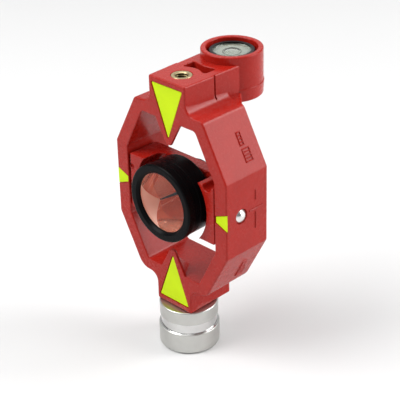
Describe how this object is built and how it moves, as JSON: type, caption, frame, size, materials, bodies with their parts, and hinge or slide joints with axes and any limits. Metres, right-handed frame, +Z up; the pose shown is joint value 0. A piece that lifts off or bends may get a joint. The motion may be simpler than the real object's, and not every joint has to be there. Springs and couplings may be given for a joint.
{
  "type": "survey prism",
  "caption": "Tilting corner-cube survey prism in a red moulded yoke with sighting triangles, a bullseye level and a threaded pole socket",
  "frame": {"origin": "centre of the pole socket's bottom face, on the pole axis", "axes": "+Z up the pole, -Y the way the glass looks, X along the tilt axis"},
  "size_m": [0.0636, 0.0557, 0.1258],
  "materials": {
    "red_plastic": "moulded, semi-gloss",
    "lime_film": "fluorescent inlay",
    "insert_brass": "turned, yellow zinc tint",
    "socket_alloy": "fine turned, polished groove",
    "screw_steel": "zinc plated",
    "black_plastic": "satin",
    "level_glass": "clear, domed",
    "level_liquid": "clear, pale green",
    "level_disc": "white with a pale green tint",
    "pin_steel": "polished dome",
    "washer_nylon": "natural nylon",
    "black_metal": "satin black anodised",
    "prism_glass": "optically polished",
    "copper_film": "copper mirror behind glass",
    "seal_rubber": "matt"
  },
  "bodies": {
    "yoke_body": {"yoke": "red_plastic", "triangle_top": "lime_film", "triangle_bottom": "lime_film", "triangle_left": "lime_film", "triangle_right": "lime_film", "top_insert": "insert_brass", "base_insert": "insert_brass", "pole_socket": "socket_alloy", "socket_screw": "screw_steel", "socket_washer": "screw_steel", "vial_holder": "black_plastic", "vial_lens": "level_glass", "vial_liquid": "level_liquid", "vial_bubble": "level_glass", "vial_base": "level_disc", "vial_screws": "screw_steel", "pivot_pins": "pin_steel"},
    "prism_body": {"cradle": "red_plastic", "pivot_bushes": "insert_brass", "friction_washers": "washer_nylon", "canister": "black_metal", "front_ring": "black_metal", "corner_cube": "prism_glass", "copper_coating": "copper_film", "front_seal": "seal_rubber", "back_pad": "seal_rubber", "neck_nut": "black_metal"}
  },
  "joints": [
    {"name": "tilt", "type": "hinge", "parent": "yoke_body", "child": "prism_body", "pos_m": [0, 0, 0.0715], "axis": [-1, 0, 0], "continuous": true}
  ]
}
